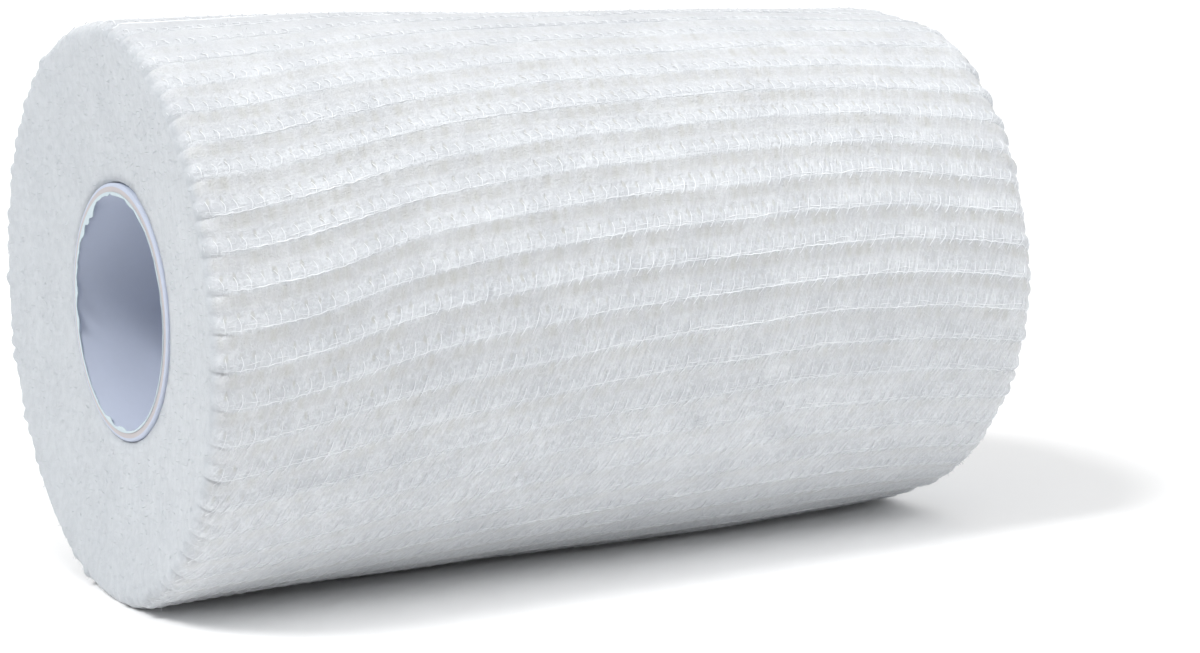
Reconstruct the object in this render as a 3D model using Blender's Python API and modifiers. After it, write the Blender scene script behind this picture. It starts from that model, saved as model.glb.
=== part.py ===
"""Cohesive bandage roll: ribbed elastic gauze wound on a plain tube core.

The roll lies on its side. Its axis runs along X, +Z is up, and the origin is
under its middle, on the surface that it rests on. The wound cloth is one solid
with its ribs raised in its points, and the core tube is the other.

Angles around the axis are in degrees: 0 faces +Y (back), 90 is the top,
180 faces -Y (front) and 270 is the bottom, where the roll is pressed flat.
"""

import math

import bmesh
import bpy
from mathutils import Matrix, Vector

MM = 0.001

# Cloth: driving dimensions
CLOTH_WIDTH = 100.0 * MM
CLOTH_RADIUS = 30.3 * MM  # to the crests of the ribs
NEAR_SHOULDER = 1.8 * MM  # rounding of the edge at -X
FAR_SHOULDER = 3.2 * MM  # rounding of the edge at +X
DISH_DEPTH = 2.2 * MM  # how far each end face sinks towards the core
FLAT_DEPTH = 0.45 * MM  # how much the roll's own weight presses in at the bottom
FLAT_SPREAD = 13.0  # degrees each side of the bottom where the ribs are pressed flat

# Core: driving dimensions
BORE_RADIUS = 12.25 * MM
CORE_WALL = 1.05 * MM
CORE_LENGTH = 96.2 * MM
CORE_SHIFT_Y = -0.2 * MM  # the winding is a little uneven, so the core sits off centre
CORE_SHIFT_Z = 0.2 * MM
CORE_STEPS = 96

SEAT_GAP = 0.3 * MM  # between the core and the first turn of cloth

# Ribs: how many, how high, and their section going around the roll
RIB_COUNT = 51
RIB_HEIGHT = 0.55 * MM
RIB_PITCH = 360.0 / RIB_COUNT
RIB_SECTION = (
    # (share of the pitch, share of the height)
    (0.00, 0.00),
    (0.30, 0.12),
    (0.60, 0.80),
    (0.87, 1.00),
)
RIB_FADE_RADIUS = 27.6 * MM  # the ribs die out on the end faces by this radius

# Bow of the ribs: each leaves the straight line across the cloth by this much
RIB_BOW = (
    # (place along X, rise towards smaller angles), both in mm
    (-50.0, -0.4),
    (-40.0, 1.2),
    (-25.0, 4.4),
    (-10.0, 6.2),
    (5.0, 7.2),
    (20.0, 7.8),
    (35.0, 7.4),
    (50.0, 5.7),
)

# Soft dents and swells of the hand-tight winding
SWELLS = (
    # (angle, its spread, place along X, its reach, height), in degrees and mm
    (325.0, 15.0, -50.0, 9.0, -0.45),
    (80.0, 10.0, -50.0, 8.0, -0.38),
    (45.0, 14.0, -50.0, 8.0, 0.50),
    (256.0, 7.0, -49.0, 5.0, 0.20),
    (245.0, 10.0, 49.0, 8.0, -0.42),
    (160.0, 10.0, 49.0, 8.0, -0.33),
    (123.0, 9.0, 49.0, 8.0, 0.55),
    (99.0, 7.0, 48.0, 7.0, -0.42),
    (250.0, 12.0, -26.0, 16.0, -0.32),
    (254.0, 12.0, 14.0, 20.0, 0.30),
    (88.0, 12.0, -22.0, 11.0, 0.28),
)

# Cut ends of the cloth, which run across its width
LAP_RIB = 44  # outer end, low at the back: at the foot of this rib, along its whole length
LAP_HEIGHT = 0.4 * MM
LAP_TAPER = 55.0  # degrees over which the last turn sinks to the one below
LAP_RIM_SHARE = 0.35  # share of the step that is left at the rims
START_ANGLE = 112.0  # inner end, at the top of the core
START_HEIGHT = 0.5 * MM
START_TAPER = 34.0  # degrees over which the wedge beside the core opens

# Rows of points along the outside, between the two rounded edges
SIDE_STATIONS = tuple(mm * MM for mm in (44, 37, 29, 20, 11, 1, -9, -18, -27, -36, -43))
SHOULDER_POINTS = 3
FACE_ROWS = (0.45,)  # places between a face's rim and its hole

AXIS_HEIGHT = CLOTH_RADIUS - FLAT_DEPTH
LAP_ANGLE = LAP_RIB * RIB_PITCH
CORE_RADIUS = BORE_RADIUS + CORE_WALL
HOLE_RADIUS = CORE_RADIUS + SEAT_GAP
POINTS_PER_RIB = len(RIB_SECTION)
CLOTH_STEPS = RIB_COUNT * POINTS_PER_RIB


def clear_scene():
    """Remove every object that the file starts with."""
    for item in list(bpy.data.objects):
        bpy.data.objects.remove(item, do_unlink=True)


def make_collection(name):
    """Make a collection under the scene."""
    collection = bpy.data.collections.new(name)
    bpy.context.scene.collection.children.link(collection)
    return collection


def make_material(name, colour, roughness):
    """Make a plain Principled material."""
    material = bpy.data.materials.new(name)
    material.use_nodes = True
    shader = material.node_tree.nodes["Principled BSDF"]
    shader.inputs["Base Color"].default_value = (*colour, 1.0)
    shader.inputs["Roughness"].default_value = roughness
    shader.inputs["Metallic"].default_value = 0.0
    return material


def turn_profile(name, profile, steps, collection):
    """Turn a closed profile of (along the axis, radius) points about the X axis.

    The profile runs from +X to -X on its outer side. It is turned about Z by a
    Screw modifier, made a plain mesh, and laid along X.
    """
    mesh = bpy.data.meshes.new(name + "_profile")
    shape = bmesh.new()
    points = [shape.verts.new((radius, 0.0, along)) for along, radius in profile]
    for first, second in zip(points, points[1:] + points[:1]):
        shape.edges.new((first, second))
    shape.to_mesh(mesh)
    shape.free()

    guide = bpy.data.objects.new(name + "_guide", mesh)
    collection.objects.link(guide)
    screw = guide.modifiers.new("Turn", "SCREW")
    screw.axis = "Z"
    screw.angle = math.tau
    screw.steps = steps
    screw.render_steps = steps
    screw.use_merge_vertices = True
    screw.merge_threshold = 0.00001

    depsgraph = bpy.context.evaluated_depsgraph_get()
    turned = bpy.data.meshes.new_from_object(guide.evaluated_get(depsgraph))
    bpy.data.objects.remove(guide, do_unlink=True)
    turned.name = name
    turned.transform(Matrix.Rotation(math.radians(90.0), 4, "Y"))

    result = bpy.data.objects.new(name, turned)
    collection.objects.link(result)
    return result


def shoulder(centre_along, centre_radius, size, first, last):
    """Points of a rounded edge between two angles, in degrees from the axis' +X."""
    points = []
    for step in range(SHOULDER_POINTS):
        angle = math.radians(first + (last - first) * step / (SHOULDER_POINTS - 1))
        points.append((centre_along + size * math.cos(angle), centre_radius + size * math.sin(angle)))
    return points


def cloth_profile():
    """Section of the wound cloth: outer side, near face, hole and far face."""
    half = CLOTH_WIDTH / 2.0
    far_edge = shoulder(half - FAR_SHOULDER, CLOTH_RADIUS - FAR_SHOULDER, FAR_SHOULDER, 0.0, 90.0)
    near_edge = shoulder(NEAR_SHOULDER - half, CLOTH_RADIUS - NEAR_SHOULDER, NEAR_SHOULDER, 90.0, 180.0)
    side = [(station, CLOTH_RADIUS) for station in SIDE_STATIONS]
    near_rim = near_edge[-1]
    far_rim = far_edge[0]
    near_hole = (DISH_DEPTH - half, HOLE_RADIUS)
    far_hole = (half - DISH_DEPTH, HOLE_RADIUS)
    near_face = [between(near_rim, near_hole, share) for share in FACE_ROWS]
    far_face = [between(far_hole, far_rim, share) for share in FACE_ROWS]
    return far_edge + side + near_edge + near_face + [near_hole, far_hole] + far_face


def core_profile():
    """Section of the tube wall, with square cut ends."""
    half = CORE_LENGTH / 2.0
    return [(half, CORE_RADIUS), (-half, CORE_RADIUS), (-half, BORE_RADIUS), (half, BORE_RADIUS)]


def between(start, end, share):
    """Point at a share of the way from start to end."""
    return tuple(a + (b - a) * share for a, b in zip(start, end))


def smooth(share):
    """Ease from 0 to 1, held at both ends."""
    share = min(max(share, 0.0), 1.0)
    return share * share * (3.0 - 2.0 * share)


def turn_between(angle, start):
    """Degrees from start to angle, going towards larger angles, under 360."""
    return (angle - start) % 360.0


def signed_turn(angle, centre):
    """Degrees from centre to angle the short way round, -180 to 180."""
    return (angle - centre + 180.0) % 360.0 - 180.0


def rib_bow(along):
    """Rise of a rib at a place along X, from a smooth curve through RIB_BOW."""
    place = along / MM
    row = 0
    while row < len(RIB_BOW) - 2 and place > RIB_BOW[row + 1][0]:
        row += 1
    before = RIB_BOW[max(row - 1, 0)]
    start = RIB_BOW[row]
    end = RIB_BOW[row + 1]
    after = RIB_BOW[min(row + 2, len(RIB_BOW) - 1)]
    span = end[0] - start[0]
    share = min(max((place - start[0]) / span, 0.0), 1.0)
    start_slope = (end[1] - before[1]) / (end[0] - before[0]) * span
    end_slope = (after[1] - start[1]) / (after[0] - start[0]) * span
    rise = (
        start[1] * (2 * share**3 - 3 * share**2 + 1)
        + start_slope * (share**3 - 2 * share**2 + share)
        + end[1] * (3 * share**2 - 2 * share**3)
        + end_slope * (share**3 - share**2)
    )
    return rise * MM


def swell_height(angle, along):
    """Sum of the soft dents and swells at one place."""
    total = 0.0
    for centre, spread, place, reach, height in SWELLS:
        around = signed_turn(angle, centre) / spread
        across = (along / MM - place) / reach
        total += height * math.exp(-0.5 * (around**2 + across**2))
    return total * MM


def lap_height(straight, along):
    """Step of the cloth's outer cut end, by the angle before the ribs bow."""
    back = turn_between(LAP_ANGLE, straight)
    rim = smooth((CLOTH_WIDTH / 2.0 - abs(along)) / (4.0 * MM))
    return LAP_HEIGHT * (LAP_RIM_SHARE + (1.0 - LAP_RIM_SHARE) * rim) * (1.0 - smooth(back / LAP_TAPER))


def start_height(angle):
    """Wedge that the cloth's inner end leaves beside the core."""
    before = turn_between(START_ANGLE, angle)
    after = turn_between(angle, START_ANGLE)
    return START_HEIGHT * max(1.0 - smooth(before / START_TAPER), 1.0 - smooth(after / START_TAPER))


def place_around(along, angle, radius, shift):
    """Point at an angle and radius around the axis, moved by a share of the core's shift."""
    turn = math.radians(angle)
    return Vector((
        along,
        radius * math.cos(turn) + CORE_SHIFT_Y * shift,
        AXIS_HEIGHT + radius * math.sin(turn) + CORE_SHIFT_Z * shift,
    ))


def shape_cloth(mesh):
    """Raise the ribs, dents and cut ends in the points of the turned cloth."""
    half = CLOTH_WIDTH / 2.0
    for vertex in mesh.vertices:
        along, across, up = vertex.co
        radius = math.hypot(across, up)
        column = round(math.degrees(math.atan2(up, across)) % 360.0 / 360.0 * CLOTH_STEPS)
        rib, point = divmod(column, POINTS_PER_RIB)
        pitch_share, height_share = RIB_SECTION[point]
        straight = (rib + pitch_share) * RIB_PITCH
        outward = (radius - HOLE_RADIUS) / (CLOTH_RADIUS - HOLE_RADIUS)

        bow = math.degrees(rib_bow(min(max(along, -half), half)) / CLOTH_RADIUS)
        angle = straight - bow * outward
        on_side = smooth((radius - RIB_FADE_RADIUS) / (CLOTH_RADIUS - RIB_FADE_RADIUS))
        pressed = smooth(abs(signed_turn(angle, 270.0)) / FLAT_SPREAD)
        relief = RIB_HEIGHT * (height_share - 1.0) * on_side * pressed
        uneven = (swell_height(angle, along) + lap_height(straight, along)) * smooth(outward)
        hollow = start_height(angle) * (1.0 - smooth(outward * 3.0))
        vertex.co = place_around(along, angle, radius + relief + uneven + hollow, 1.0 - outward)
        vertex.co.z = max(vertex.co.z, 0.0)


def build_cloth(collection):
    """The wound cloth, as one solid with its ribs and rounded edges."""
    cloth = turn_profile("wound_cloth", cloth_profile(), CLOTH_STEPS, collection)
    shape_cloth(cloth.data)
    cloth.data.shade_smooth()
    cloth.data.set_sharp_from_angle(angle=math.radians(60.0))
    cloth.data.materials.append(make_material("ribbed_gauze", (0.80, 0.82, 0.83), 0.95))
    return cloth


def build_core(collection):
    """The tube that the cloth is wound on."""
    core = turn_profile("core_tube", core_profile(), CORE_STEPS, collection)
    core.location = (0.0, CORE_SHIFT_Y, AXIS_HEIGHT + CORE_SHIFT_Z)
    core.data.shade_smooth()
    core.data.set_sharp_from_angle(angle=math.radians(40.0))
    core.data.materials.append(make_material("core_plastic", (0.74, 0.72, 0.70), 0.6))
    return core


def main():
    """Build the roll."""
    clear_scene()
    collection = make_collection("bandage_roll")
    build_cloth(collection)
    build_core(collection)


if __name__ == "__main__":
    main()
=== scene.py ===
"""Cohesive bandage roll, dressed: ribbed open gauze wound on a plain tube, in a white studio.

Lengths are metres. The roll's axis runs along X and it rests on Z = 0. The cloth has flat
coordinates of its own, kept in the UV map "cloth": U runs across the cloth from the near cut edge
(0) to the far one (1), and V runs once around the roll from under the outer cut end (0) to that
end (1). Threads are drawn flat in U, V and height, and then laid on the wound surface.
"""

from __future__ import annotations

import logging
import math
from dataclasses import dataclass, field
from enum import Enum
from functools import reduce
from typing import Any

import bpy
import numpy as np
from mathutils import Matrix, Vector

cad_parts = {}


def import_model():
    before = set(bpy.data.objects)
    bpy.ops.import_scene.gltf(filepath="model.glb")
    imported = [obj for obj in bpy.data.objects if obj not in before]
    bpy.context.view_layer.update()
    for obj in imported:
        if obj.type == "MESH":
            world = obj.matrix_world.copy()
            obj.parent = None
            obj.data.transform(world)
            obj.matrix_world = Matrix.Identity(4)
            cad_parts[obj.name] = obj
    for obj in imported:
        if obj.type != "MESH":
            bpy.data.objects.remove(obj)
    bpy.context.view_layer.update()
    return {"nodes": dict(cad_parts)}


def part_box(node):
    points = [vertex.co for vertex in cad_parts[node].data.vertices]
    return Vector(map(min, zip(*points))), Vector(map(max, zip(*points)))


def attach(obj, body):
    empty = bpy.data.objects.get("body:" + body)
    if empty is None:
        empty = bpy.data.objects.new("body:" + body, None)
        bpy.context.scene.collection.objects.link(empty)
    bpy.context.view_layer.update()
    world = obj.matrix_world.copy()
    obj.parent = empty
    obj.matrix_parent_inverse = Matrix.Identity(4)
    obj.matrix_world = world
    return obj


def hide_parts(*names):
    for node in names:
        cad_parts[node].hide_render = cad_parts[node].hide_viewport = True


MM = 0.001
LOG = logging.getLogger("bandage_roll")
CLOTH_UV = "cloth"
OUTWARD = "outward"
FELT = "felt"
CUT = "cut"
BARE = "bare"

AXIS_HEIGHT = 29.85 * MM  # a little under the radius, because the roll is pressed flat at the bottom
CORE_GAP = 0.08 * MM  # between the core and the hole in the cloth
FLOOR_CLEARANCE = 0.12 * MM  # how far the threads stay above the floor
SEAM_MARGIN = 0.0001  # how far V keeps from both ends of the winding
TOP_V = 0.42  # place of the roll's top in V
WEFT_START = 0.006  # where a weft starts in U, just inside the near cut edge
WEFT_END = 0.985  # where it ends
WEFT_DIP = 0.2 * MM  # how far its tips sink into the cloth
PULL_START = 0.60  # reach at which the cloth begins to be pulled askew
PULL_FULL = 0.72  # reach at which it is so in full
PULL_SLOPE = 0.14  # how much the pulled region low on the front climbs in V for each U

RIB_COUNT = 51
WARP_COUNT = 75
LAP_RIB = 44  # the outer cut end lies at the foot of this rib, counted from the back
RIB_PITCH = 360.0 / RIB_COUNT

RIB_BOW = (
    # (place along X, rise towards smaller angles), both in mm
    (-50.0, -0.4),
    (-40.0, 1.2),
    (-25.0, 4.4),
    (-10.0, 6.2),
    (5.0, 7.2),
    (20.0, 7.8),
    (35.0, 7.4),
    (50.0, 5.7),
)

SWELLS = (
    # (angle, its spread, place along X, its reach, height), in degrees and mm
    (325.0, 15.0, -50.0, 9.0, -0.45),
    (80.0, 10.0, -50.0, 8.0, -0.38),
    (45.0, 14.0, -50.0, 8.0, 0.50),
    (256.0, 7.0, -49.0, 5.0, 0.20),
    (245.0, 10.0, 49.0, 8.0, -0.42),
    (160.0, 10.0, 49.0, 8.0, -0.33),
    (123.0, 9.0, 49.0, 8.0, 0.55),
    (99.0, 7.0, 48.0, 7.0, -0.42),
    (250.0, 12.0, -26.0, 16.0, -0.32),
    (254.0, 12.0, 14.0, 20.0, 0.30),
    (88.0, 12.0, -22.0, 11.0, 0.28),
)

FLATTER = (
    # (angle, its spread, share of the ribs' height that is lost), in degrees
    (98.0, 25.0, 0.62),
    (224.0, 20.0, 0.60),
)

LOW_PUSH = (242.0, 14.0, 0.40)  # angle, its spread and the share of a pitch that the ribs move there

Socket = bpy.types.NodeSocket
Tree = bpy.types.NodeTree
Material = bpy.types.Material
Item = bpy.types.Object
Colour = tuple[float, float, float]
Direction = tuple[float, float, float]


class End(Enum):
    """The two ends of the roll, by the sign of their place along X."""

    NEAR = -1
    FAR = 1


# ---------------------------------------------------------------------------------------------
# Small tools
# ---------------------------------------------------------------------------------------------


def smooth(share: np.ndarray | float) -> np.ndarray:
    """Ease from 0 to 1, held at both ends.

    Args:
        share: Where between the two ends, 0 to 1; values outside are held.

    Returns:
        The eased share.
    """
    held = np.clip(share, 0.0, 1.0)
    return held * held * (3.0 - 2.0 * held)


def signed_turn(angle: np.ndarray, centre: float) -> np.ndarray:
    """Degrees from centre to angle the short way round, -180 to 180."""
    return (angle - centre + 180.0) % 360.0 - 180.0


@dataclass(frozen=True)
class Unevenness:
    """Smooth seeded noise over a rectangle of cells, about -1 to 1.

    Attributes:
        seed: Seed of the random values.
        columns: Cells along the first coordinate.
        rows: Cells along the second coordinate.
    """

    seed: int
    columns: int
    rows: int

    def at(self, first: np.ndarray, second: np.ndarray) -> np.ndarray:
        """Noise at places given as shares of the rectangle.

        Args:
            first: Share along the first coordinate, 0 to 1.
            second: Share along the second coordinate, 0 to 1.

        Returns:
            The noise at each place.
        """
        values = np.random.default_rng(self.seed).uniform(-1.0, 1.0, (self.columns + 2, self.rows + 2))
        x = np.clip(first, 0.0, 1.0) * self.columns
        y = np.clip(second, 0.0, 1.0) * self.rows
        i = np.minimum(x.astype(int), self.columns - 1)
        j = np.minimum(y.astype(int), self.rows - 1)
        a = smooth(x - i)
        b = smooth(y - j)
        low = values[i, j] * (1.0 - a) + values[i + 1, j] * a
        high = values[i, j + 1] * (1.0 - a) + values[i + 1, j + 1] * a
        return low * (1.0 - b) + high * b


class Graph:
    """A node tree under construction."""

    def __init__(self, tree: Tree) -> None:
        """Start from an existing tree.

        Args:
            tree: The tree that gets the nodes.
        """
        self.tree = tree

    @classmethod
    def group(cls, name: str, kind: str, inputs: dict[str, Any], outputs: dict[str, str]) -> Graph:
        """Make a node group with named inputs and outputs.

        Args:
            name: Name of the group.
            kind: Type of tree, for geometry or for shading.
            inputs: Default value for each input name, or a type of socket that has none.
            outputs: Type of socket for each output name.

        Returns:
            The group's graph.
        """
        tree = bpy.data.node_groups.new(name, kind)
        kinds = {float: "Float", int: "Int", tuple: "Color"}
        for label, value in inputs.items():
            socket_type = value if isinstance(value, str) else kinds[type(value)]
            socket = tree.interface.new_socket(
                name=label, in_out="INPUT", socket_type=f"NodeSocket{socket_type}"
            )
            if socket_type != value:
                socket.default_value = value
        for label, socket_type in outputs.items():
            tree.interface.new_socket(name=label, in_out="OUTPUT", socket_type=f"NodeSocket{socket_type}")
        graph = cls(tree)
        graph.inputs = graph.add("NodeGroupInput").outputs
        graph.end = graph.add("NodeGroupOutput")
        return graph

    def add(self, kind: str, feeds: dict[str | int, Any] | None = None, **settings: Any) -> bpy.types.Node:
        """Add a node.

        Args:
            kind: The node's type name.
            feeds: A socket or a constant for each input, by its name or its number.
            **settings: Properties of the node.

        Returns:
            The new node.
        """
        node = self.tree.nodes.new(kind)
        for name, value in settings.items():
            setattr(node, name, value)
        for key, value in (feeds or {}).items():
            self.feed(node, key, value)
        return node

    def out(self, kind: str, feeds: dict[str | int, Any] | None = None, **settings: Any) -> Socket:
        """Add a node and give its first output."""
        return self.add(kind, feeds, **settings).outputs[0]

    def attribute(self, name: str, data_type: str = "FLOAT") -> Socket:
        """Read a named attribute of the geometry."""
        return self.out("GeometryNodeInputNamedAttribute", {"Name": name}, data_type=data_type)

    def feed(self, node: bpy.types.Node, key: str | int, value: Any) -> None:
        """Link a socket, or write a constant, to an input of a node."""
        if isinstance(value, Socket):
            self.tree.links.new(value, node.inputs[key])
        else:
            node.inputs[key].default_value = value

    def maths(self, operation: str, *values: Any) -> Socket:
        """Add a Math node and give its result.

        Args:
            operation: Name of the operation.
            *values: Sockets or numbers.

        Returns:
            The result's socket.
        """
        return self.out("ShaderNodeMath", dict(enumerate(values)), operation=operation)

    def times(self, *values: Any) -> Socket:
        """Multiply two or more values, from the left."""
        return reduce(lambda first, second: self.maths("MULTIPLY", first, second), values)

    def plus(self, *values: Any) -> Socket:
        """Add two or more values, from the left."""
        return reduce(lambda first, second: self.maths("ADD", first, second), values)

    def minus(self, first: Any, second: Any) -> Socket:
        """Take the second value from the first."""
        return self.maths("SUBTRACT", first, second)

    def times_plus(self, value: Any, factor: Any, added: Any) -> Socket:
        """Multiply a value by a factor and add another to it."""
        return self.maths("MULTIPLY_ADD", value, factor, added)

    def vector(self, operation: str, *values: Any) -> Socket:
        """Add a Vector Math node and give its vector result."""
        return self.out("ShaderNodeVectorMath", dict(enumerate(values)), operation=operation)

    def scaled(self, direction: Any, length: Any) -> Socket:
        """Scale a vector by a number."""
        return self.out("ShaderNodeVectorMath", {0: direction, "Scale": length}, operation="SCALE")

    def joined(self, x: Any = 0.0, y: Any = 0.0, z: Any = 0.0) -> Socket:
        """Join three numbers to a vector."""
        return self.out("ShaderNodeCombineXYZ", {0: x, 1: y, 2: z})

    def split(self, vector: Any) -> tuple[Socket, ...]:
        """Split a vector into its three numbers."""
        return tuple(self.add("ShaderNodeSeparateXYZ", {0: vector}).outputs)

    def ranged(
        self, value: Any, low: float, high: float, to_low: Any = 0.0, to_high: Any = 1.0
    ) -> Socket:
        """Map a value smoothly from one range to another.

        Args:
            value: The value to map.
            low: Value that gives to_low.
            high: Value that gives to_high.
            to_low: Result at low.
            to_high: Result at high.

        Returns:
            The mapped value's socket.
        """
        feeds = {0: value, 1: low, 2: high, 3: to_low, 4: to_high}
        return self.out("ShaderNodeMapRange", feeds, interpolation_type="SMOOTHSTEP")

    def blend(self, share: Any, first: Any, second: Any) -> Socket:
        """Blend two colours.

        Args:
            share: How much of the second shows.
            first: A colour or its socket.
            second: A colour or its socket.

        Returns:
            The blended colour's socket.
        """
        first, second = ((*item, 1.0) if isinstance(item, tuple) else item for item in (first, second))
        node = self.add("ShaderNodeMix", {0: share, 6: first, 7: second}, data_type="RGBA")
        return node.outputs[2]

    def noise(self, place: Any, scale: Any, detail: float = 2.0) -> Socket:
        """Noise around zero, about -0.5 to 0.5.

        Args:
            place: Where the noise is read.
            scale: Cells for each unit of place.
            detail: Octaves.

        Returns:
            The noise's socket.
        """
        value = self.out("ShaderNodeTexNoise", {"Vector": place, "Scale": scale, "Detail": detail})
        return self.minus(value, 0.5)

    def stretched_noise(self, place: Any, factors: Direction, detail: float = 1.0) -> Socket:
        """Noise read at a place that is scaled by its own factor along each axis."""
        return self.noise(self.vector("MULTIPLY", place, factors), 1.0, detail)

    def woven_noise(self, flat: Any, per_warp: float, per_rib: float, detail: float = 2.0) -> Socket:
        """Noise that goes with the weave.

        Args:
            flat: The cloth's flat coordinates.
            per_warp: Cells for each warp.
            per_rib: Cells for each rib.
            detail: Octaves.

        Returns:
            The noise's socket.
        """
        return self.stretched_noise(flat, (WARP_COUNT * per_warp, RIB_COUNT * per_rib, 1.0), detail)

    def reach(self, u: Any, v: Any) -> Socket:
        """How far a place lies towards the region low on the front that is pulled askew."""
        return self.times_plus(u, PULL_SLOPE, v)


def added(name: str, data: bpy.types.ID) -> Item:
    """Make an object and link it to the scene.

    Args:
        name: Name of the object.
        data: Its mesh, light or camera.

    Returns:
        The object.
    """
    item = bpy.data.objects.new(name, data)
    bpy.context.scene.collection.objects.link(item)
    return item


def closed_mesh(name: str, points: np.ndarray, material: Material) -> bpy.types.Mesh:
    """Make a smooth mesh from a grid of points that closes both ways.

    Args:
        name: Name of the mesh.
        points: Grid of points, rows by columns.
        material: Finish of the mesh.

    Returns:
        The mesh.
    """
    rows, columns = points.shape[:2]
    i, j = np.meshgrid(np.arange(rows), np.arange(columns), indexing="ij")
    i2, j2 = (i + 1) % rows, (j + 1) % columns
    faces = np.stack([i * columns + j, i * columns + j2, i2 * columns + j2, i2 * columns + j], axis=-1)
    mesh = bpy.data.meshes.new(name)
    mesh.from_pydata(points.reshape(-1, 3).tolist(), [], faces.reshape(-1, 4).tolist())
    mesh.materials.append(material)
    mesh.shade_smooth()
    return mesh


def plain_copy(piece: Item) -> Item:
    """Turn a piece with live modifiers into a plain mesh object of the same name.

    Args:
        piece: The object whose result is kept.

    Returns:
        The new object. The old one is removed.
    """
    depsgraph = bpy.context.evaluated_depsgraph_get()
    mesh = bpy.data.meshes.new_from_object(piece.evaluated_get(depsgraph), depsgraph=depsgraph)
    name = piece.name
    bpy.data.objects.remove(piece, do_unlink=True)
    mesh.name = name
    return added(name, mesh)


def grown(name: str, tree: Tree, values: dict[str, Any]) -> Item:
    """Make a piece from a Geometry Nodes tree.

    Args:
        name: Name of the piece.
        tree: The tree.
        values: A value for each named input of the tree.

    Returns:
        The piece as a plain mesh object.
    """
    piece = added(name, bpy.data.meshes.new(name))
    modifier = piece.modifiers.new("Grow", "NODES")
    modifier.node_group = tree
    for item in tree.interface.items_tree:
        if item.in_out == "INPUT" and item.name in values:
            modifier[item.identifier] = values[item.name]
    return plain_copy(piece)


# ---------------------------------------------------------------------------------------------
# Finishes
# ---------------------------------------------------------------------------------------------


def cotton_group() -> Tree:
    """Shader group for cotton: uneven colour and a fine fibrous height.

    Returns:
        The group, with inputs Colour, Shade, Fibre Size and Unevenness, and outputs Colour and Height.
    """
    graph = Graph.group(
        "cotton",
        "ShaderNodeTree",
        {
            "Colour": (0.8, 0.8, 0.8, 1.0),
            "Shade": (0.7, 0.7, 0.7, 1.0),
            "Fibre Size": 0.3 * MM,
            "Unevenness": 0.5,
        },
        {"Colour": "Color", "Height": "Float"},
    )
    place = graph.add("ShaderNodeTexCoord").outputs["Object"]
    fine = graph.noise(place, graph.maths("DIVIDE", 1.0, graph.inputs["Fibre Size"]), 3.0)
    broad = graph.noise(place, 1.0 / (6.0 * MM), 2.0)
    mixed = graph.plus(graph.times(fine, 0.7), broad)
    mask = graph.times(graph.ranged(mixed, -0.35, 0.35), graph.inputs["Unevenness"])
    colour = graph.blend(mask, graph.inputs["Colour"], graph.inputs["Shade"])
    graph.feed(graph.end, "Colour", colour)
    graph.feed(graph.end, "Height", fine)
    return graph.tree


@dataclass(frozen=True)
class Finish:
    """A Principled material fed by the shared cotton group.

    Attributes:
        name: Name of the material.
        colour: Main colour.
        shade: Colour of its darker patches.
        fibre: Size of the fine fibres.
        unevenness: How much of the shade shows, 0 to 1.
        roughness: Roughness of the surface.
        bump: Height of the fibres in the surface.
        glow: Share of light that scatters under the surface.
        sheen: Strength of the pale edge that fine fibres give.
    """

    name: str
    colour: Colour
    shade: Colour
    fibre: float = 0.3 * MM
    unevenness: float = 0.6
    roughness: float = 0.95
    bump: float = 0.03 * MM
    glow: float = 0.0
    sheen: float = 0.0

    def base(self, cotton: Tree) -> tuple[Graph, bpy.types.Node, bpy.types.Node]:
        """Make the material with the group placed in it.

        Args:
            cotton: The shared cotton group.

        Returns:
            The graph, the Principled node and the placed group.
        """
        material = bpy.data.materials.new(self.name)
        material.use_nodes = True
        graph = Graph(material.node_tree)
        shader = material.node_tree.nodes["Principled BSDF"]
        looks = {
            "Roughness": self.roughness,
            "Specular IOR Level": 0.25,
            "Sheen Weight": self.sheen,
            "Subsurface Weight": self.glow,
            "Subsurface Radius": (1.0, 1.0, 1.0),
            "Subsurface Scale": 0.5 * MM,
        }
        for key, value in looks.items():
            graph.feed(shader, key, value)
        feeds = {
            "Colour": (*self.colour, 1.0),
            "Shade": (*self.shade, 1.0),
            "Fibre Size": self.fibre,
            "Unevenness": self.unevenness,
        }
        placed = graph.add("ShaderNodeGroup", node_tree=cotton)
        for key, value in feeds.items():
            graph.feed(placed, key, value)
        return graph, shader, placed

    def raise_surface(self, graph: Graph, shader: bpy.types.Node, height: Socket) -> None:
        """Let the fibres' height bend the normals of the surface.

        Args:
            graph: The material's graph.
            shader: Its Principled node.
            height: Height of the fibres.
        """
        bump = graph.add("ShaderNodeBump", {"Height": height, "Distance": self.bump, "Strength": 1.0})
        graph.feed(shader, "Normal", bump.outputs["Normal"])

    def build(self, cotton: Tree) -> Material:
        """Make the finished material.

        Args:
            cotton: The shared cotton group.

        Returns:
            The material.
        """
        graph, shader, placed = self.base(cotton)
        graph.feed(shader, "Base Color", placed.outputs["Colour"])
        self.raise_surface(graph, shader, placed.outputs["Height"])
        return bpy.data.materials[self.name]


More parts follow.
